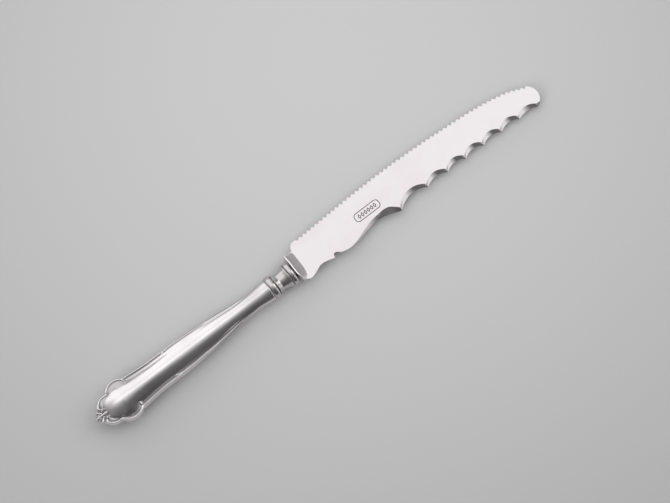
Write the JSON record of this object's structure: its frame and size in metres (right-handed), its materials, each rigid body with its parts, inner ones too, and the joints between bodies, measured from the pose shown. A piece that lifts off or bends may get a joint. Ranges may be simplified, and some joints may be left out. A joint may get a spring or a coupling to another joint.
{
  "type": "tomato knife",
  "caption": "Table tomato knife with a saw-toothed back, a hollow-ground scalloped edge, a stepped bolster, a ringed ferrule and a hollow thread-bordered silver handle.",
  "frame": {"origin": "centre of the bounding box, on its lowest level", "axes": "+X along the handle's axis from the butt to the blade's tip, +Y toward the saw back, +Z out of the blade's ground face"},
  "size_m": [0.2102, 0.0192, 0.0118],
  "materials": {
    "blade_steel": "finely satin-polished stainless steel, with brighter hollow-ground scallops",
    "handle_silver": "worn polished silver with fine scratches and darker grooves",
    "ferrule_silver": "worn polished silver with tarnish in the grooves",
    "filler_cement": "matt cast filler, not visible from outside"
  },
  "bodies": {
    "root": {"blade": "blade_steel", "handle_front_shell": "handle_silver", "handle_back_shell": "handle_silver", "ferrule": "ferrule_silver", "cement_core": "filler_cement"}
  },
  "joints": []
}
